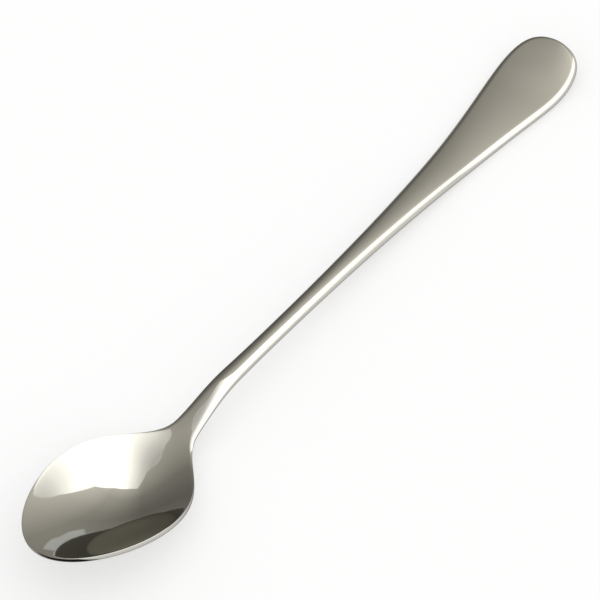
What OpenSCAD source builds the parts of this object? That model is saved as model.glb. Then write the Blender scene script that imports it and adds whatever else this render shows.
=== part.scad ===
// Melon spoon, pressed and polished from one blank of stainless steel.
// It lies face up on z = 0, with X from the tip of the bowl to the end of the handle and Z up.
// Places along the spoon are measured in millimetres from the tip of the bowl or from the end.

/* [Overall] */
// Length from the tip of the bowl to the end of the handle
spoon_l = 174; // [162:1:190]

/* [Bowl] */
// Width of the bowl at its widest
bowl_w = 27.7; // [24:0.1:32]
// Widest place of the bowl, from its tip
bowl_widest = 24; // [21:0.5:27]
// How far the round of the tip reaches to each side
tip_reach = 7.1; // [5:0.1:9]
// How far the full width is held ahead of the widest place
side_reach = 10.7; // [8:0.1:12]
// Depth of the hollow below the rim
bowl_depth = 5.8; // [5:0.1:9]
// Extra steepness of the wall under the rim, where 0 is a plain parabola and less than 0 a flared wall
wall_steepness = -0.25; // [-0.5:0.05:0.5]
// Thickness of the steel in the bowl
bowl_t = 1.2; // [0.8:0.05:1.6]
// Share of the rim's rounding that lies on the back, from 0 for an even round to 1 for a sharp inner edge
rim_bias = 0.95; // [0:0.05:1]
// Slope of the rim in degrees, tip upwards
rim_tilt = 15; // [10:0.1:18]

/* [Neck] */
// Place where the bowl has drawn in to the neck, from the tip
neck_at = 46; // [44:0.5:50]
// Width of the neck at that place
neck_w = 5.7; // [4.6:0.1:7]
// Narrowing of the half width at that place, in millimetres per millimetre
neck_taper = 0.18; // [0.1:0.01:0.28]
// Reach of the shoulder's hollow curve ahead of that place
shoulder_reach = 6.6; // [5:0.1:9]
// Start of the bend from the bowl up into the stem, from the tip
bend_from = 31.7; // [29:0.1:36]
// End of that bend, from the tip
bend_to = 62.1; // [56:0.1:70]

/* [Stem] */
// Width of the stem at its waist
stem_w = 3.8; // [3:0.1:4.6]
// Place of the waist, from the tip
waist_at = 72; // [66:1:80]
// Reach of the neck's curve ahead of the waist
waist_reach = 10; // [6:0.5:14]
// Fall of the stem towards the handle, in degrees
stem_fall = 3.9; // [3:0.1:6]

/* [Handle] */
// Start of the handle, from the tip
handle_from = 112; // [98:1:126]
// Width of the handle at its widest
handle_w = 16; // [12:0.1:20]
// Widest place of the handle, from its end
handle_widest = 9.5; // [8:0.1:14]
// How far the flare runs on slim behind the waist
flare_reach = 69; // [58:1:74]
// How far the full width is held ahead of the widest place
grip_reach = 10.1; // [7:0.1:14]
// How far the round of the end reaches to each side
end_reach = 5.3; // [4:0.1:6.5]
// Thickness of the stem and the handle, without the crown
handle_t = 2.2; // [1.6:0.1:3]
// Rise of the handle's crowned face along its middle
crown = 0.4; // [0.1:0.05:0.8]
// Width of the rounded edges of the stem and the handle
edge_round = 1.2; // [0.8:0.1:1.4]
// Length of the flat patch of the back that rests on the table
rest_l = 11; // [8:0.5:14]
// Distance from the flat patch to the end of the handle
rest_from_end = 17; // [15:0.5:20]
// Half length of the bends on either side of the flat patch
rest_bend = 8; // [5:0.5:8.5]
// Upward turn of the handle's end, in degrees
end_lift = 18.4; // [0:0.2:20]

/* [Hidden] */

// Colours of the polished steel
bowl_grey = "#a8a498";
neck_grey = "#b4b0a4";
stem_grey = "#b9b5a9";
handle_grey = "#9c988b";

// Cross sections along each curve of the outline, and points across one cross section
front_rings = 15;
back_rings = 17;
neck_rings = 10;
stem_rings = 7;
flare_rings = 15;
end_rings = 12;
edge_step = 30;
face_points = 12;
// Share of a narrow section's edge distance that its rounded edge may take
lip_share = 0.6;
// The bowl's seat is looked for where the bend has covered less than this share
seat_share = 0.5;

// Half widths and places worked out from the sizes above
bowl_half = bowl_w / 2;
neck_half = neck_w / 2;
stem_half = stem_w / 2;
handle_half = handle_w / 2;
grip_at = spoon_l - handle_widest;
rest_to = spoon_l - rest_from_end;
rest_start = rest_to - rest_l;

// Reaches on the far side of each joint in the outline, so that its curvature runs on evenly
draw_in = bowl_half - neck_half - neck_taper * shoulder_reach;
back_reach = side_reach * sqrt(draw_in / (bowl_half - tip_reach));
neck_turn = stem_half - neck_half + neck_taper * (waist_at - waist_reach - neck_at);
shoulder_turn = bowl_half - neck_half - neck_taper * (neck_at - bowl_widest - back_reach);
neck_reach = shoulder_reach * sqrt(neck_turn / shoulder_turn);
grip_back_reach = grip_reach * sqrt((handle_half - end_reach) / (handle_half - stem_half));

// Outline of one side as cubic curves, each with two ends and two guides
front_curve = [
    [0, 0],
    [0, tip_reach],
    [bowl_widest - side_reach, bowl_half],
    [bowl_widest, bowl_half]
];
back_curve = [
    [bowl_widest, bowl_half],
    [bowl_widest + back_reach, bowl_half],
    [neck_at - shoulder_reach, neck_half + neck_taper * shoulder_reach],
    [neck_at, neck_half]
];
neck_curve = [
    [neck_at, neck_half],
    [neck_at + neck_reach, neck_half - neck_taper * neck_reach],
    [waist_at - waist_reach, stem_half],
    [waist_at, stem_half]
];
flare_curve = [
    [waist_at, stem_half],
    [waist_at + flare_reach, stem_half],
    [grip_at - grip_reach, handle_half],
    [grip_at, handle_half]
];
end_curve = [
    [grip_at, handle_half],
    [grip_at + grip_back_reach, handle_half],
    [spoon_l, end_reach],
    [spoon_l, 0]
];

// Point on a cubic curve, and the rate at which it moves
function cubic(c, t) =
    let(r = 1 - t)
    pow(r, 3) * c[0] + 3 * r * r * t * c[1] + 3 * r * t * t * c[2] + pow(t, 3) * c[3];
function cubic_rate(c, t) =
    let(r = 1 - t)
    3 * (r * r * (c[1] - c[0]) + 2 * r * t * (c[2] - c[1]) + t * t * (c[3] - c[2]));

// Place on a curve that lies at a given distance from the tip, by halving
function place_of(c, x, low = 0, high = 1, tries = 40) =
    let(t = (low + high) / 2, short = cubic(c, t)[0] < x)
    tries == 0 ? t : place_of(c, x, short ? t : low, short ? high : t, tries - 1);

// A step with a soft start and end, a line that starts softly, and a blend of two values
function within(u) = min(max(u, 0), 1);
function soft_step(u) =
    let(v = within(u))
    v * v * v * (10 - 15 * v + 6 * v * v);
function soft_line(u, b) =
    let(v = within((u + b) / (2 * b)))
    u > b ? u : 2 * b * (pow(v, 3) - pow(v, 4) / 2);
function blend(a, b, share) = a + (b - a) * share;

// A station is its distance from the tip, its half width and the rate of the squared half width
function station(c, t) =
    let(p = cubic(c, t), rate = cubic_rate(c, t))
    [p[0], p[1], 2 * p[1] * rate[1] / rate[0]];
function stations(c, from, to, first, last, count) =
    [for (i = [first:last]) station(c, from + (to - from) * i / count)];

// At a distance x from the tip: share of the bend covered, thickness of the steel, width of the rounded
// edge, bias of its rounding and height of the handle's back
function bend_share(x) = soft_step((x - bend_from) / (bend_to - bend_from));
function thickness(x) = blend(bowl_t, handle_t, bend_share(x));
function rounding(x) = blend(bowl_t / 2, edge_round, bend_share(x));
function back_bias(x) = rim_bias * (1 - bend_share(x));
function back_height(x) =
    tan(stem_fall) * soft_line(rest_start - rest_bend - x, rest_bend)
    + tan(end_lift) * soft_line(x - rest_to - rest_bend, rest_bend);

// Depth and slopes of the hollow, where near is the squared half width less the squared distance from
// the middle
function dish(x, near) =
    let(v = near / pow(bowl_half, 2))
    (1 - bend_share(x)) * bowl_depth * v * (1 + wall_steepness * (1 - v));
function dish_rate(x, near) =
    let(v = near / pow(bowl_half, 2))
    (1 - bend_share(x)) * bowl_depth * (1 + wall_steepness - 2 * wall_steepness * v) / pow(bowl_half, 2);
function slope_along(s, near) = -(1 - bend_share(s[0])) * tan(rim_tilt) - s[2] * dish_rate(s[0], near);
function slope_across(s, y) = 2 * y * dish_rate(s[0], s[1] * s[1] - y * y);

// Half of the steel, measured in the cross section, with the edge rounded off
function edge_factor(s, y) =
    let(near = s[1] * s[1] - y * y)
    let(distance = near / sqrt(4 * s[1] * s[1] + s[2] * s[2]))
    let(u = within(distance / rounding(s[0])))
    sqrt(1 - pow(1 - u, 2));
function half_steel(s, y) =
    let(along = slope_along(s, s[1] * s[1] - y * y), across = slope_across(s, y))
    let(lean = sqrt(1 + along * along / (1 + across * across)))
    thickness(s[0]) / 2 * edge_factor(s, y) * lean;

front = stations(front_curve, 0, 1, 1, front_rings, front_rings);
back = stations(back_curve, 0, 1, 1, back_rings, back_rings);
handle_place = place_of(flare_curve, handle_from);
bowl_run = concat(front, back);
neck_run = stations(neck_curve, 0, 1, 0, neck_rings, neck_rings);
stem_run = stations(flare_curve, 0, handle_place, 0, stem_rings, stem_rings);
flare_run = stations(flare_curve, handle_place, 1, 0, flare_rings, flare_rings);
end_run = stations(end_curve, 0, 1, 1, end_rings - 1, end_rings);

// Height of the rim at the tip that sets the lowest point of the bowl on the table
function seat(s) =
    let(share = bend_share(s[0]))
    let(handle_part = share * (back_height(s[0]) + thickness(s[0]) / 2))
    let(below = dish(s[0], s[1] * s[1]) + (1 + back_bias(s[0])) * half_steel(s, 0))
    tan(rim_tilt) * s[0] + (below - handle_part) / (1 - share);
tip_h = max([for (s = bowl_run) if (bend_share(s[0]) < seat_share) seat(s)]);

// Height of the edge's middle line
function edge_height(x) =
    blend(tip_h - tan(rim_tilt) * x, back_height(x) + thickness(x) / 2, bend_share(x));

// One point of a cross section, on the face for side 1 and on the back for side -1
function skin_point(s, y, side) =
    let(across = slope_across(s, y), share = side - back_bias(s[0]))
    let(steel = share * half_steel(s, y) / sqrt(1 + across * across))
    let(rise = side > 0 ? crown * bend_share(s[0]) * (1 - pow(y / s[1], 2)) * edge_factor(s, y) : 0)
    let(middle = edge_height(s[0]) - dish(s[0], s[1] * s[1] - y * y))
    [s[0] - spoon_l / 2, y - across * steel, middle + steel + rise];

// Distances from the middle, close together over the rounded edges and even between them
function edge_distances(s) =
    let(slant = sqrt(4 * s[1] * s[1] + s[2] * s[2]))
    let(lip = min(rounding(s[0]), lip_share * s[1] * s[1] / slant))
    [for (a = [0:edge_step:90]) sqrt(s[1] * s[1] - lip * (1 - cos(a)) * slant)];
function across_points(s) =
    let(outer = edge_distances(s), last = len(outer) - 1)
    concat(
        [for (y = outer) -y],
        [for (i = [1:face_points - 1]) outer[last] * (2 * i / face_points - 1)],
        [for (i = [last:-1:0]) outer[i]]
    );

// Closed loop of one cross section: over the face and back under it
function ring(s) =
    let(ys = across_points(s))
    concat(
        [for (y = ys) skin_point(s, y, 1)],
        [for (i = [len(ys) - 2:-1:1]) skin_point(s, ys[i], -1)]
    );
function pole(x) = [x - spoon_l / 2, 0, edge_height(x)];

// Solid through a run of stations, closed by flat sections or by a pole at the tip or the end
module skin(run, pole_first = false, pole_last = false) {
    rings = [for (s = run) ring(s)];
    around = len(rings[0]);
    last = len(rings) - 1;
    poles = concat(pole_first ? [pole(0)] : [], pole_last ? [pole(spoon_l)] : []);
    tip_index = around * len(rings);
    end_index = tip_index + len(poles) - 1;
    sides = [
        for (i = [0:last - 1], j = [0:around - 1])
            let(a = i * around + j, b = i * around + (j + 1) % around)
            for (face = [[a, b, a + around], [b, b + around, a + around]]) face
    ];
    first_cap = pole_first
        ? [for (j = [0:around - 1]) [tip_index, (j + 1) % around, j]]
        : [[for (j = [around - 1:-1:0]) j]];
    last_cap = pole_last
        ? [for (j = [0:around - 1]) [end_index, last * around + j, last * around + (j + 1) % around]]
        : [[for (j = [0:around - 1]) last * around + j]];
    polyhedron(
        points = concat([for (r = rings) each r], poles),
        faces = concat(sides, first_cap, last_cap),
        convexity = 4
    );
}

module bowl() {
    color(bowl_grey) skin(bowl_run, pole_first = true);
}

module neck() {
    color(neck_grey) skin(neck_run);
}

module stem() {
    color(stem_grey) skin(stem_run);
}

module handle() {
    color(handle_grey) skin(concat(flare_run, end_run), pole_last = true);
}

bowl();
neck();
stem();
handle();
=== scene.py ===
import math

import bmesh
import bpy
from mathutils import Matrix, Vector


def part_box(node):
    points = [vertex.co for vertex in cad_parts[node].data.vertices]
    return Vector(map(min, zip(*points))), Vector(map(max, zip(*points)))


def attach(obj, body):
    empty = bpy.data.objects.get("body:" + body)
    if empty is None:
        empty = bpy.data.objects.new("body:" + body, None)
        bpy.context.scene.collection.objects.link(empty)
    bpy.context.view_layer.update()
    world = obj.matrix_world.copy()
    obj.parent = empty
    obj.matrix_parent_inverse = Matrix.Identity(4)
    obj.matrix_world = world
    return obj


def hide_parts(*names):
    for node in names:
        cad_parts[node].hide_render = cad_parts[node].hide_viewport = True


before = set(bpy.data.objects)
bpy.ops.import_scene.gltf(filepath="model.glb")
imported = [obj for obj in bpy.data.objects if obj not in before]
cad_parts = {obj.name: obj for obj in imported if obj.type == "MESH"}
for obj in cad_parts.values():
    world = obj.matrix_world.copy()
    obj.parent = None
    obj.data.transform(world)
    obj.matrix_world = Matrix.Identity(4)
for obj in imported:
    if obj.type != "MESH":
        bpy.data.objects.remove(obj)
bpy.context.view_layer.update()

mm = 0.001


def hexColour(text):
    # linear colour of an sRGB hex value
    channels = [int(text[i:i + 2], 16) / 255 for i in (1, 3, 5)]
    linear = [c / 12.92 if c <= 0.04045 else ((c + 0.055) / 1.055) ** 2.4 for c in channels]
    return (*linear, 1.0)


def addNode(tree, kind, inputs=(), **settings):
    # inputs are given by place or by name, each as a plain value or as a socket to link
    node = tree.nodes.new(kind)
    for name, value in settings.items():
        setattr(node, name, value)
    pairs = inputs.items() if isinstance(inputs, dict) else enumerate(inputs)
    for key, value in pairs:
        if isinstance(value, bpy.types.NodeSocket):
            tree.links.new(value, node.inputs[key])
        else:
            node.inputs[key].default_value = value
    return node


def emptyMaterial(name):
    material = bpy.data.materials.new(name)
    material.use_nodes = True
    material.node_tree.nodes.clear()
    return material


class Num:
    # a number in a node tree, so that the spoon's law can be written as plain arithmetic
    def __init__(self, tree, socket):
        self.tree = tree
        self.socket = socket

    def calc(self, operation, *values):
        sockets = [value.socket if isinstance(value, Num) else value for value in values]
        node = addNode(self.tree, "ShaderNodeMath", sockets, operation=operation)
        return Num(self.tree, node.outputs[0])


operators = {"add": "ADD", "sub": "SUBTRACT", "mul": "MULTIPLY", "truediv": "DIVIDE"}
for name, operation in operators.items():
    setattr(Num, f"__{name}__", lambda a, b, op=operation: a.calc(op, a, b))
    setattr(Num, f"__r{name}__", lambda a, b, op=operation: a.calc(op, b, a))


def within(u):
    return u.calc("MINIMUM", u.calc("MAXIMUM", u, 0.0), 1.0)


def blend(a, b, share):
    return a + (b - a) * share


def softStep(u):
    # from 0 to 1 with a soft start and end
    v = within(u)
    return v * v * v * (10.0 - 15.0 * v + 6.0 * v * v)


def softLine(u, bend):
    # level at first, then a line that rises by 1 for each 1, with a soft bend between them
    v = within((u + bend) / (2.0 * bend))
    return 2.0 * bend * (v * v * v - v * v * v * v / 2.0) + u.calc("MAXIMUM", u - bend, 0.0)


def slopeOf(degrees):
    return degrees.calc("TANGENT", degrees * math.radians(1))


def cubic(guides, t):
    a, b, c, d = guides
    r = 1.0 - t
    return r * r * r * a + 3.0 * r * r * t * b + 3.0 * r * t * t * c + t * t * t * d


def cubicRate(guides, t):
    # a third of the curve's rate, which is enough for a ratio of two
    a, b, c, d = guides
    r = 1.0 - t
    return r * r * (b - a) + 2.0 * r * t * (c - b) + t * t * (d - c)


# Sizes in millimetres and degrees, places counted from the tip of the bowl or from the handle's end
spoon = {
    "spoonLength": 174.0,
    # bowl
    "bowlWidth": 27.7,
    "bowlWidest": 24.0,
    "tipReach": 7.1,
    "sideReach": 10.7,
    "bowlDepth": 5.8,
    "wallSteepness": -0.25,  # 0 is a plain parabola, less than 0 a flared wall
    "bowlThickness": 1.2,
    "rimBias": 0.95,  # share of the rim's rounding that lies on the back
    "rimTilt": 15.0,
    # neck
    "neckAt": 46.0,
    "neckWidth": 5.7,
    "neckTaper": 0.18,  # loss of half width per millimetre
    "shoulderReach": 6.6,
    "bendFrom": 31.7,
    "bendTo": 62.1,
    # stem
    "stemWidth": 3.8,
    "waistAt": 72.0,
    "waistReach": 10.0,
    "stemFall": 3.9,
    # handle
    "handleWidth": 16.0,
    "handleWidest": 9.5,
    "flareReach": 69.0,
    "gripReach": 10.1,
    "endReach": 5.3,
    "handleThickness": 2.2,
    "crown": 0.4,
    "edgeRound": 1.2,
    "restLength": 11.0,
    "restFromEnd": 17.0,
    "restBend": 8.0,
    "endLift": 18.4,
}

# How finely the skin is drawn
skin = {
    "around": 200,  # points in a ring
    "rings": {"bowl": 220, "neck": 90, "stem": 110, "handle": 300},
    "edgeShare": 0.34,  # share of the points across that the rounded edges take
    "lipShare": 0.6,  # share of a narrow ring that its rounded edges may take
    "weld": 0.0001,  # millimetres between points that become one
    "halvings": 40,  # steps in the search for a place on the outline
}

# Places on the outline count its curves: two for the bowl, then the neck, the flare and the handle's end
neckFrom = 2
flareFrom = 3
outlineEnd = 5


def outlineCurves(s, root):
    # one side of the outline seen from above, as cubic curves of two ends and two guides each
    bowlHalf = s["bowlWidth"] / 2
    neckHalf = s["neckWidth"] / 2
    stemHalf = s["stemWidth"] / 2
    handleHalf = s["handleWidth"] / 2
    gripAt = s["spoonLength"] - s["handleWidest"]
    # reaches behind each join, so that the curvature runs on evenly
    drawIn = bowlHalf - neckHalf - s["neckTaper"] * s["shoulderReach"]
    backReach = s["sideReach"] * root(drawIn / (bowlHalf - s["tipReach"]))
    neckTurn = stemHalf - neckHalf + s["neckTaper"] * (s["waistAt"] - s["waistReach"] - s["neckAt"])
    shoulderTurn = bowlHalf - neckHalf - s["neckTaper"] * (s["neckAt"] - s["bowlWidest"] - backReach)
    neckReach = s["shoulderReach"] * root(neckTurn / shoulderTurn)
    gripBackReach = s["gripReach"] * root((handleHalf - s["endReach"]) / (handleHalf - stemHalf))
    return [
        [
            (0.0, 0.0),
            (0.0, s["tipReach"]),
            (s["bowlWidest"] - s["sideReach"], bowlHalf),
            (s["bowlWidest"], bowlHalf),
        ],
        [
            (s["bowlWidest"], bowlHalf),
            (s["bowlWidest"] + backReach, bowlHalf),
            (s["neckAt"] - s["shoulderReach"], neckHalf + s["neckTaper"] * s["shoulderReach"]),
            (s["neckAt"], neckHalf),
        ],
        [
            (s["neckAt"], neckHalf),
            (s["neckAt"] + neckReach, neckHalf - s["neckTaper"] * neckReach),
            (s["waistAt"] - s["waistReach"], stemHalf),
            (s["waistAt"], stemHalf),
        ],
        [
            (s["waistAt"], stemHalf),
            (s["waistAt"] + s["flareReach"], stemHalf),
            (gripAt - s["gripReach"], handleHalf),
            (gripAt, handleHalf),
        ],
        [
            (gripAt, handleHalf),
            (gripAt + gripBackReach, handleHalf),
            (s["spoonLength"], s["endReach"]),
            (s["spoonLength"], 0.0),
        ],
    ]


def outlinePoint(s, place):
    # distance from the tip, half width, and rate of the squared half width
    curves = outlineCurves(s, lambda value: value.calc("SQRT", value))
    curve = place.calc("MINIMUM", place.calc("FLOOR", place), outlineEnd - 1.0)
    onCurve = [place.calc("COMPARE", curve, float(i), 0.5) for i in range(outlineEnd)]

    def guidesOf(axis):
        guides = []
        for k in range(4):
            parts = [here * points[k][axis] for here, points in zip(onCurve, curves)]
            guides.append(sum(parts[1:], parts[0]))
        return guides

    along = guidesOf(0)
    aside = guidesOf(1)
    t = place - curve
    w = cubic(aside, t)
    return cubic(along, t), w, 2.0 * w * cubicRate(aside, t) / cubicRate(along, t)


def ringPoint(turn, square, slant, rounding):
    # side, distance from the middle, and squared half width less that distance squared. A ring runs over the
    # face, side 1, and back under it, side -1, with its points close together on the rounded edges
    calc = turn.calc
    across = 1.0 - calc("ABSOLUTE", turn * 4.0 - 2.0)
    side = calc("LESS_THAN", turn, 0.5) * 2.0 - 1.0
    fromEdge = 1.0 - calc("ABSOLUTE", across)
    lip = calc("MINIMUM", rounding, skin["lipShare"] * square / slant)
    angle = within(fromEdge / skin["edgeShare"]) * math.radians(90)
    lipNear = lip * (1.0 - calc("COSINE", angle)) * slant
    keep = 1.0 - within((fromEdge - skin["edgeShare"]) / (1.0 - skin["edgeShare"]))
    y = calc("SIGN", across) * keep * calc("SQRT", square - lipNear)
    return side, y, lipNear + (square - lipNear) * (1.0 - keep * keep)


def skinPoint(s, place, turn):
    # millimetres along the spoon, across it and up, at a place on the outline and a turn around the ring
    calc = place.calc
    x, w, squareRate = outlinePoint(s, place)
    square = w * w
    slant = calc("SQRT", 4.0 * square + squareRate * squareRate)

    # the bend from the bowl up into the stem, and what changes along it
    share = softStep((x - s["bendFrom"]) / (s["bendTo"] - s["bendFrom"]))
    thickness = blend(s["bowlThickness"], s["handleThickness"], share)
    rounding = blend(s["bowlThickness"] / 2.0, s["edgeRound"], share)
    side, y, near = ringPoint(turn, square, slant, rounding)

    # the hollow, its slopes, and half of the steel with its rounded edge
    bowlSquare = s["bowlWidth"] * s["bowlWidth"] / 4.0
    v = near / bowlSquare
    depth = (1.0 - share) * s["bowlDepth"]
    dish = depth * v * (1.0 + s["wallSteepness"] * (1.0 - v))
    dishRate = depth * (1.0 + s["wallSteepness"] - 2.0 * s["wallSteepness"] * v) / bowlSquare
    rimSlope = slopeOf(s["rimTilt"])
    slopeAlong = squareRate * dishRate + (1.0 - share) * rimSlope
    slopeAcross = 2.0 * y * dishRate
    lean = 1.0 + slopeAcross * slopeAcross
    u = 1.0 - within(near / slant / rounding)
    edge = calc("SQRT", 1.0 - u * u)
    shift = side - s["rimBias"] * (1.0 - share)
    steel = shift * thickness / 2.0 * edge * calc("SQRT", 1.0 + slopeAlong * slopeAlong / lean)
    steel = steel / calc("SQRT", lean)

    # heights: rim of the bowl, back of the handle with its flat resting patch, crown of the face
    restTo = s["spoonLength"] - s["restFromEnd"]
    restStart = restTo - s["restLength"]
    fall = slopeOf(s["stemFall"]) * softLine(restStart - s["restBend"] - x, s["restBend"])
    lift = slopeOf(s["endLift"]) * softLine(x - restTo - s["restBend"], s["restBend"])
    middle = blend(s["tipHeight"] - rimSlope * x, fall + lift + thickness / 2.0, share) - dish
    offCentre = y / w
    rise = calc("MAXIMUM", side, 0.0) * s["crown"] * share * (1.0 - offCentre * offCentre) * edge
    return x - s["spoonLength"] / 2.0, y - slopeAcross * steel, middle + steel + rise


def spoonTree():
    tree = bpy.data.node_groups.new("spoonSkin", "GeometryNodeTree")
    for name in (*spoon, "tipHeight", "placeFrom", "placeTo", "rings", "around"):
        tree.interface.new_socket(name, in_out="INPUT", socket_type="NodeSocketFloat")
    tree.interface.new_socket("steel", in_out="INPUT", socket_type="NodeSocketMaterial")
    tree.interface.new_socket("skin", in_out="OUTPUT", socket_type="NodeSocketGeometry")
    source = addNode(tree, "NodeGroupInput")
    s = {socket.name: Num(tree, socket) for socket in source.outputs if socket.type == "VALUE"}
    calc = s["spoonLength"].calc

    # flat sheet of points, with one ring more at each end than the piece keeps
    sheet = addNode(
        tree,
        "GeometryNodeMeshGrid",
        [1.0, 1.0, (s["rings"] + 2.0).socket, (s["around"] + 1.0).socket],
    )
    flat = addNode(tree, "ShaderNodeSeparateXYZ", [addNode(tree, "GeometryNodeInputPosition").outputs[0]])
    step = (s["placeTo"] - s["placeFrom"]) / (s["rings"] - 1.0)
    ring = (Num(tree, flat.outputs[0]) + 0.5) * (s["rings"] + 1.0)
    turn = Num(tree, flat.outputs[1]) + 0.5
    place = s["placeFrom"] + (ring - 1.0) * step
    place = calc("MINIMUM", calc("MAXIMUM", place, 0.0), float(outlineEnd))
    point = [(value * mm).socket for value in skinPoint(s, place, turn)]
    point = addNode(tree, "ShaderNodeCombineXYZ", point)

    # the sheet takes the spoon's shape, closes at its seam and poles, and loses its spare rings
    marked = addNode(
        tree,
        "GeometryNodeStoreNamedAttribute",
        {"Geometry": sheet.outputs["Mesh"], "Name": "place", "Value": place.socket},
        data_type="FLOAT",
        domain="POINT",
    )
    shaped = addNode(
        tree,
        "GeometryNodeSetPosition",
        {"Geometry": marked.outputs[0], "Position": point.outputs[0]},
    )
    closed = addNode(
        tree,
        "GeometryNodeMergeByDistance",
        {"Geometry": shaped.outputs[0], "Distance": skin["weld"] * mm},
    )
    normal = addNode(tree, "GeometryNodeInputNormal").outputs[0]
    lit = addNode(
        tree,
        "GeometryNodeStoreNamedAttribute",
        {"Geometry": closed.outputs[0], "Name": "skinNormal", "Value": normal},
        data_type="FLOAT_VECTOR",
        domain="POINT",
    )
    kept = addNode(tree, "GeometryNodeInputNamedAttribute", {"Name": "place"}, data_type="FLOAT")
    kept = Num(tree, kept.outputs[0])
    spare = calc("LESS_THAN", kept, s["placeFrom"] - step / 2.0)
    spare = spare + calc("GREATER_THAN", kept, s["placeTo"] + step / 2.0)
    trimmed = addNode(
        tree,
        "GeometryNodeDeleteGeometry",
        {"Geometry": lit.outputs[0], "Selection": spare.socket},
        domain="POINT",
    )
    real = addNode(tree, "GeometryNodeRealizeInstances", [trimmed.outputs[0]])
    finished = addNode(
        tree,
        "GeometryNodeSetMaterial",
        {"Geometry": real.outputs[0], "Material": source.outputs["steel"]},
    )
    addNode(tree, "NodeGroupOutput", [finished.outputs[0]])
    return tree


def flarePlace(distance):
    # place on the outline where the flare lies at a distance from the tip, found by halving
    guides = [x for x, _ in outlineCurves(spoon, math.sqrt)[flareFrom]]
    low, high = 0.0, 1.0
    for _ in range(skin["halvings"]):
        t = (low + high) / 2
        if cubic(guides, t) < distance:
            low = t
        else:
            high = t
    return flareFrom + (low + high) / 2


def closeEnds(mesh):
    # flat faces over the open ends, then the smooth normals that the whole spoon has there
    work = bmesh.new()
    work.from_mesh(mesh)
    ends = [edge for edge in work.edges if edge.is_boundary]
    caps = bmesh.ops.holes_fill(work, edges=ends, sides=0)["faces"] if ends else []
    for face in work.faces:
        face.smooth = True
    for face in caps:
        face.smooth = False
        face.material_index = 0
    bmesh.ops.recalc_face_normals(work, faces=work.faces)
    if work.calc_volume(signed=True) < 0:
        bmesh.ops.reverse_faces(work, faces=work.faces)
    work.to_mesh(mesh)
    work.free()
    normals = [Vector(item.vector) for item in mesh.attributes["skinNormal"].data]
    agreement = sum((n.dot(v.normal) for n, v in zip(normals, mesh.vertices)), 0.0)
    way = 1.0 if agreement > 0 else -1.0
    loops = [None] * len(mesh.loops)
    for face in mesh.polygons:
        for i in face.loop_indices:
            loops[i] = normals[mesh.loops[i].vertex_index] * way if face.use_smooth else face.normal
    mesh.normals_split_custom_set(loops)
    for name in ("skinNormal", "place"):
        mesh.attributes.remove(mesh.attributes[name])
    return len(caps)


# Stainless steel, pressed, then buffed to a mirror: sharp reflections a little softened by the fine lines
# that the buffing wheel left along the spoon, and a warm grey of its own
steelLook = {
    "colour": "#c4c2bb",
    "grazing": "#7c7c7c",  # steel reflects less at a slant, before the last rise to full
    "mirror": (0.03, 0.06),  # roughness in the bowl, buffed longest
    "satin": (0.10, 0.17),  # and on the handle
    "satinFrom": -40.0,  # millimetres from the middle of the spoon
    "satinTo": 10.0,
    "lineLength": 14.0,  # millimetres along the spoon
    "lineSpacing": 0.5,  # drawn coarser than the real 0.05 so that it shows at all
    "lineHeight": 0.0006,
    "lineDetail": 3.0,
    "lineHarshness": 0.6,
    "clouds": 9.0,  # millimetres, uneven pressure of the wheel
    "cloudDetail": 2.0,
    "cloudShare": 0.5,  # of the unevenness, the rest comes from the lines
    "noiseRange": (0.3, 0.7),  # part of the noise that takes the roughness from least to most
}


def buffedSteel():
    look = steelLook
    material = emptyMaterial("buffedStainlessSteel")
    tree = material.node_tree
    place = addNode(tree, "ShaderNodeTexCoord").outputs["Object"]
    linesAlong = 1 / (look["lineLength"] * mm)
    linesAcross = 1 / (look["lineSpacing"] * mm)
    stretched = addNode(
        tree,
        "ShaderNodeMapping",
        {"Vector": place, "Scale": (linesAlong, linesAcross, linesAcross)},
    )
    lines = addNode(
        tree,
        "ShaderNodeTexNoise",
        {
            "Vector": stretched.outputs[0],
            "Scale": 1.0,
            "Detail": look["lineDetail"],
            "Roughness": look["lineHarshness"],
        },
    )
    clouds = addNode(
        tree,
        "ShaderNodeTexNoise",
        {"Vector": place, "Scale": 1 / (look["clouds"] * mm), "Detail": look["cloudDetail"]},
    )
    uneven = addNode(
        tree,
        "ShaderNodeMix",
        {0: look["cloudShare"], 2: lines.outputs[0], 3: clouds.outputs[0]},
        data_type="FLOAT",
    )
    mirror, satin = [
        addNode(tree, "ShaderNodeMapRange", [uneven.outputs[0], *look["noiseRange"], *look[name]])
        for name in ("mirror", "satin")
    ]
    along = addNode(tree, "ShaderNodeSeparateXYZ", [place]).outputs["X"]
    worn = addNode(
        tree,
        "ShaderNodeMapRange",
        [along, look["satinFrom"] * mm, look["satinTo"] * mm, 0.0, 1.0],
        interpolation_type="SMOOTHSTEP",
    )
    rough = addNode(
        tree,
        "ShaderNodeMix",
        {0: worn.outputs[0], 2: mirror.outputs[0], 3: satin.outputs[0]},
        data_type="FLOAT",
    )
    bump = addNode(
        tree,
        "ShaderNodeBump",
        {"Height": lines.outputs[0], "Strength": 1.0, "Distance": look["lineHeight"] * mm},
    )
    surface = addNode(
        tree,
        "ShaderNodeBsdfPrincipled",
        {
            "Base Color": hexColour(look["colour"]),
            "Metallic": 1.0,
            "Specular Tint": hexColour(look["grazing"]),
            "Roughness": rough.outputs[0],
            "Normal": bump.outputs[0],
        },
    )
    addNode(tree, "ShaderNodeOutputMaterial", [surface.outputs[0]])
    return material


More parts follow.
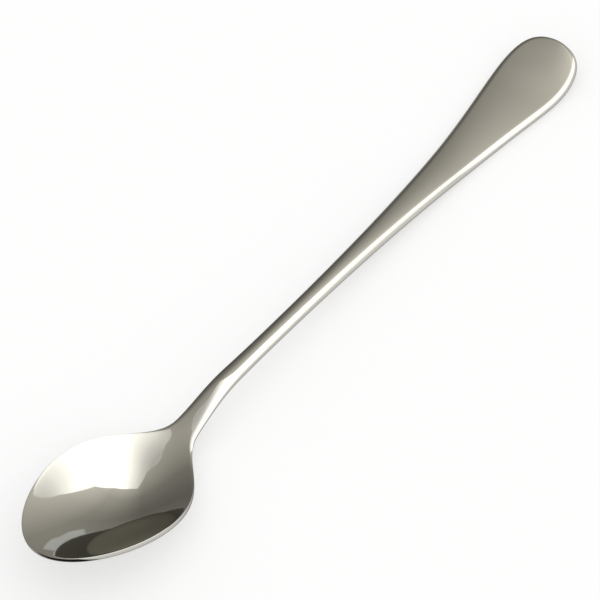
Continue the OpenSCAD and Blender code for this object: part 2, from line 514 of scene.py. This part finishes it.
def growPiece(node, tree, values):
    piece = bpy.data.objects.new(f"{node}Steel", bpy.data.meshes.new(f"{node}Start"))
    bpy.context.scene.collection.objects.link(piece)
    growth = piece.modifiers.new("spoonSkin", "NODES")
    growth.node_group = tree
    for item in tree.interface.items_tree:
        if item.in_out == "INPUT":
            growth[item.identifier] = values[item.name]
    seen = piece.evaluated_get(bpy.context.evaluated_depsgraph_get())
    mesh = bpy.data.meshes.new_from_object(seen)
    mesh.name = piece.name
    piece.modifiers.remove(growth)
    piece.data = mesh
    return piece


def makePieces():
    steel = buffedSteel()
    tree = spoonTree()
    tip = min(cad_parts["bowl"].data.vertices, key=lambda vertex: vertex.co.x)
    handlePlace = flarePlace(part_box("handle")[0].x / mm + spoon["spoonLength"] / 2)
    runs = {
        "bowl": (0, neckFrom),
        "neck": (neckFrom, flareFrom),
        "stem": (flareFrom, handlePlace),
        "handle": (handlePlace, outlineEnd),
    }
    for node, (placeFrom, placeTo) in runs.items():
        values = {
            **spoon,
            "tipHeight": tip.co.z / mm,
            "placeFrom": float(placeFrom),
            "placeTo": float(placeTo),
            "rings": float(skin["rings"][node]),
            "around": float(skin["around"]),
            "steel": steel,
        }
        piece = growPiece(node, tree, values)
        caps = closeEnds(piece.data)
        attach(piece, "root")
        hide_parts(node)
        print(piece.name, len(piece.data.polygons), "faces,", caps, "flat ends")


# The photograph's view: distances in metres, angles in degrees, shifts in pixels of a 600 pixel frame
view = {
    "target": (0.0, 0.0, 0.005),
    "distance": 0.9,
    "turn": -142.57,
    "height": 52.0,
    "pixelsPerMetre": 4927.0,
    "frame": 600.0,
    "sensor": 36.0,  # millimetres, as the lens
    "moveRight": 11.5,
    "moveUp": 3.3,
}


def makeCamera():
    turn = math.radians(view["turn"])
    height = math.radians(view["height"])
    away = Vector((math.cos(height) * math.cos(turn), math.cos(height) * math.sin(turn), math.sin(height)))
    lens = bpy.data.cameras.new("camera")
    lens.sensor_width = view["sensor"]
    lens.lens = view["sensor"] * view["pixelsPerMetre"] * view["distance"] / view["frame"]
    lens.shift_x = -view["moveRight"] / view["frame"]
    lens.shift_y = -view["moveUp"] / view["frame"]
    camera = bpy.data.objects.new("camera", lens)
    camera.location = Vector(view["target"]) + away * view["distance"]
    camera.rotation_mode = "QUATERNION"
    camera.rotation_quaternion = (-away).to_track_quat("-Z", "Y")
    bpy.context.scene.collection.objects.link(camera)
    bpy.context.scene.camera = camera
    print("camera ready, lens", round(lens.lens, 1))


# The studio is laid out in metres to the right, ahead and up, as the camera looks
viewTurn = math.radians(view["turn"])
up = Vector((0.0, 0.0, 1.0))
forward = Vector((-math.cos(viewTurn), -math.sin(viewTurn), 0.0))
right = forward.cross(up)


def studioSpot(aside, ahead, height):
    return forward * ahead + right * aside + up * height


def flatCard(name, corners, material):
    mesh = bpy.data.meshes.new(name)
    mesh.from_pydata(corners, [], [range(len(corners))])
    mesh.materials.append(material)
    card = bpy.data.objects.new(name, mesh)
    bpy.context.scene.collection.objects.link(card)
    return card


def mirroredCard(name, corners, material):
    # seen in the polished steel alone
    card = flatCard(name, corners, material)
    card.visible_camera = False
    card.visible_diffuse = False
    card.visible_shadow = False


def fourCorners(spotOf, first, second):
    # a card between two values each way, in directions that spotOf knows
    return [spotOf(first[i], second[j]) for i, j in ((0, 0), (1, 0), (1, 1), (0, 1))]


def rampOf(tree, value, stops):
    # socket with the strength that the stops give at a value, straight lines between them
    low, high = stops[0][0], stops[-1][0]
    most = max(strength for _, strength in stops)
    place = addNode(tree, "ShaderNodeMapRange", [value, low, high, 0.0, 1.0]).outputs[0]
    ramp = addNode(tree, "ShaderNodeValToRGB", [place])
    elements = ramp.color_ramp.elements
    while len(elements) < len(stops):
        elements.new(1.0)
    for element, (position, strength) in zip(elements, stops):
        element.position = (position - low) / (high - low)
        element.color = (*[strength / most] * 3, 1.0)
    return addNode(tree, "ShaderNodeMath", [ramp.outputs[0], most], operation="MULTIPLY").outputs[0]


# Sheets of lit white cloth: one close overhead that is dimmer towards the left, and two tall ones on the
# right, the side sheet beyond the spoon's middle and the near sheet from there back past the camera
sheets = {
    "colour": "#fffffb",
    "overheadHeight": 0.2,
    "overheadOutline": [  # to the right, ahead
        (0.28, 0.12),
        (0.17, 0.12),
        (0.055, 0.08),
        (-0.025, 0.08),
        (-0.055, 0.087),
        (-0.07, 0.03),
        (-0.075, 0.01),
        (-0.09, 0.0),
        (-0.11, 0.0),
        (-0.14, 0.02),
        (-0.17, 0.03),
        (-0.17, -1.2),
        (0.28, -1.2),
    ],
    # to the right, strength
    "overheadGlow": [(-0.17, 0.8), (-0.09, 0.7), (-0.055, 1.05), (-0.01, 1.75), (0.01, 2.1)],
    "tallAside": 0.35,
    "sideOutline": [  # ahead, up
        (-0.055, 0.0),
        (0.345, 0.0),
        (0.345, 0.16),
        (0.315, 0.18),
        (0.29, 0.25),
        (0.265, 0.37),
        (0.265, 2.5),
        (0.025, 2.5),
        (0.025, 0.19),
    ],
    "sideGlow": [(0.0, 0.9), (0.16, 0.95), (0.19, 1.55), (0.24, 2.1)],  # up, strength
    "nearOutline": [(-2.0, 0.0), (-0.055, 0.0), (0.025, 0.19), (0.025, 2.5), (-2.0, 2.5)],
    "nearGlow": [(0.0, 1.9), (0.24, 2.1)],
}


def litSheet(name, corners, axis, stops):
    cloth = emptyMaterial(name)
    tree = cloth.node_tree
    place = addNode(tree, "ShaderNodeTexCoord").outputs["Object"]
    along = addNode(tree, "ShaderNodeVectorMath", [place, axis], operation="DOT_PRODUCT").outputs["Value"]
    glow = addNode(tree, "ShaderNodeEmission", [hexColour(sheets["colour"]), rampOf(tree, along, stops)])
    addNode(tree, "ShaderNodeOutputMaterial", [glow.outputs[0]])
    mirroredCard(name, corners, cloth)


def makeSheets():
    height = sheets["overheadHeight"]
    corners = [studioSpot(aside, ahead, height) for aside, ahead in sheets["overheadOutline"]]
    litSheet("overheadSheet", corners, right, sheets["overheadGlow"])
    for name in ("side", "near"):
        corners = [studioSpot(sheets["tallAside"], *point) for point in sheets[f"{name}Outline"]]
        litSheet(f"{name}Sheet", corners, up, sheets[f"{name}Glow"])
    print("sheets ready")


# Cards around the spoon: a dark one that lies beyond it and a darker one before the tip of the bowl, both
# painted shade, and a pale board further off that leans to the right
cardLift = 0.0003
# painted shade: this card glows a dull grey and is seen in the steel alone, so the floor beyond the spoon is
# mirrored as if it lay in shade
paintedFarShade = {
    "colour": "#595751",
    "along": (-1.0, 1.0),  # from the middle of the spoon, along and across it
    "across": (0.017, 1.5),
}
# painted shadow: this card glows near black and is seen in the steel alone, standing in for the bowl's shadow
# on the floor before its tip
paintedTipShadow = {
    "colour": "#2a2824",
    "aside": (-0.075, -0.0375),
    "ahead": (-0.12, -0.071),
}
paleBoard = {
    "colour": "#d9dddc",
    "aside": (0.14, 0.23),
    "height": (0.0, 0.1),
    "ahead": 1.2,
    "lean": 1.05,  # to the right for each metre up
}


def plainCard(name, colour, corners):
    paint = emptyMaterial(name)
    shade = addNode(paint.node_tree, "ShaderNodeEmission", [hexColour(colour), 1.0])
    addNode(paint.node_tree, "ShaderNodeOutputMaterial", [shade.outputs[0]])
    mirroredCard(name, corners, paint)


def makeCards():
    bySpoon = lambda along, across: Vector((along, across, cardLift))
    onFloor = lambda aside, ahead: studioSpot(aside, ahead, cardLift)
    leaning = lambda aside, height: studioSpot(aside + paleBoard["lean"] * height, paleBoard["ahead"], height)
    plainCard("paintedFarShade", paintedFarShade["colour"], fourCorners(bySpoon, paintedFarShade["along"], paintedFarShade["across"]))
    plainCard("paintedTipShadow", paintedTipShadow["colour"], fourCorners(onFloor, paintedTipShadow["aside"], paintedTipShadow["ahead"]))
    plainCard("paleBoard", paleBoard["colour"], fourCorners(leaning, paleBoard["aside"], paleBoard["height"]))
    print("cards ready")


# Matt white paper: half of its light is a glow of its own, which keeps the shadow pale
floor = {
    "size": 6.0,
    "colour": "#bcbcbc",
    "glow": 0.98,
    "roughness": 0.9,
}


def makeFloor():
    paper = emptyMaterial("whiteFloorPaper")
    surface = addNode(
        paper.node_tree,
        "ShaderNodeBsdfPrincipled",
        {
            "Base Color": hexColour(floor["colour"]),
            "Roughness": floor["roughness"],
            "Specular IOR Level": 0.0,
            "Emission Color": hexColour(floor["colour"]),
            "Emission Strength": floor["glow"],
        },
    )
    addNode(paper.node_tree, "ShaderNodeOutputMaterial", [surface.outputs[0]])
    reach = (-floor["size"] / 2, floor["size"] / 2)
    flatCard("floor", fourCorners(lambda x, y: (x, y, 0.0), reach, reach), paper)
    print("floor ready")


# A dim warm room that the steel mirrors, while the camera and the floor have a plain white backdrop
room = {
    "colour": "#cfccc4",
    "backdrop": "#ffffff",
    "heights": [  # degrees above the horizon, strength
        (0, 0.63),
        (10, 0.5),
        (20, 0.54),
        (40, 0.74),
        (50, 1.0),
        (70, 1.45),
        (80, 2.2),
        (90, 2.5),
    ],
    "sides": [  # how far to the right a direction points, and how many times the strength is there
        (-1.0, 0.8),
        (-0.6, 0.6),
        (-0.2, 0.65),
        (0.0, 0.9),
        (0.4, 1.3),
        (0.6, 2.0),
        (1.0, 3.8),
    ],
}


def makeRoom():
    world = bpy.data.worlds.new("dimRoom")
    bpy.context.scene.world = world
    world.use_nodes = True
    tree = world.node_tree
    tree.nodes.clear()
    direction = addNode(tree, "ShaderNodeTexCoord").outputs["Generated"]
    height = addNode(tree, "ShaderNodeSeparateXYZ", [direction]).outputs["Z"]
    height = addNode(tree, "ShaderNodeMath", [height], operation="ARCSINE").outputs[0]
    height = addNode(tree, "ShaderNodeMath", [height, math.degrees(1)], operation="MULTIPLY").outputs[0]
    aside = addNode(tree, "ShaderNodeVectorMath", [direction, right], operation="DOT_PRODUCT")
    strength = addNode(
        tree,
        "ShaderNodeMath",
        [rampOf(tree, height, room["heights"]), rampOf(tree, aside.outputs["Value"], room["sides"])],
        operation="MULTIPLY",
    )
    walls = addNode(tree, "ShaderNodeBackground", [hexColour(room["colour"]), strength.outputs[0]])
    backdrop = addNode(tree, "ShaderNodeBackground", [hexColour(room["backdrop"]), 1.0])
    ray = addNode(tree, "ShaderNodeLightPath").outputs
    plain = addNode(tree, "ShaderNodeMath", [ray["Is Camera Ray"], ray["Is Diffuse Ray"]], operation="ADD")
    mixed = addNode(tree, "ShaderNodeMixShader", [plain.outputs[0], walls.outputs[0], backdrop.outputs[0]])
    addNode(tree, "ShaderNodeOutputWorld", [mixed.outputs[0]])
    print("room ready")


makeCamera()
makePieces()
makeSheets()
makeCards()
makeFloor()
makeRoom()
bpy.context.scene.view_settings.view_transform = "Standard"
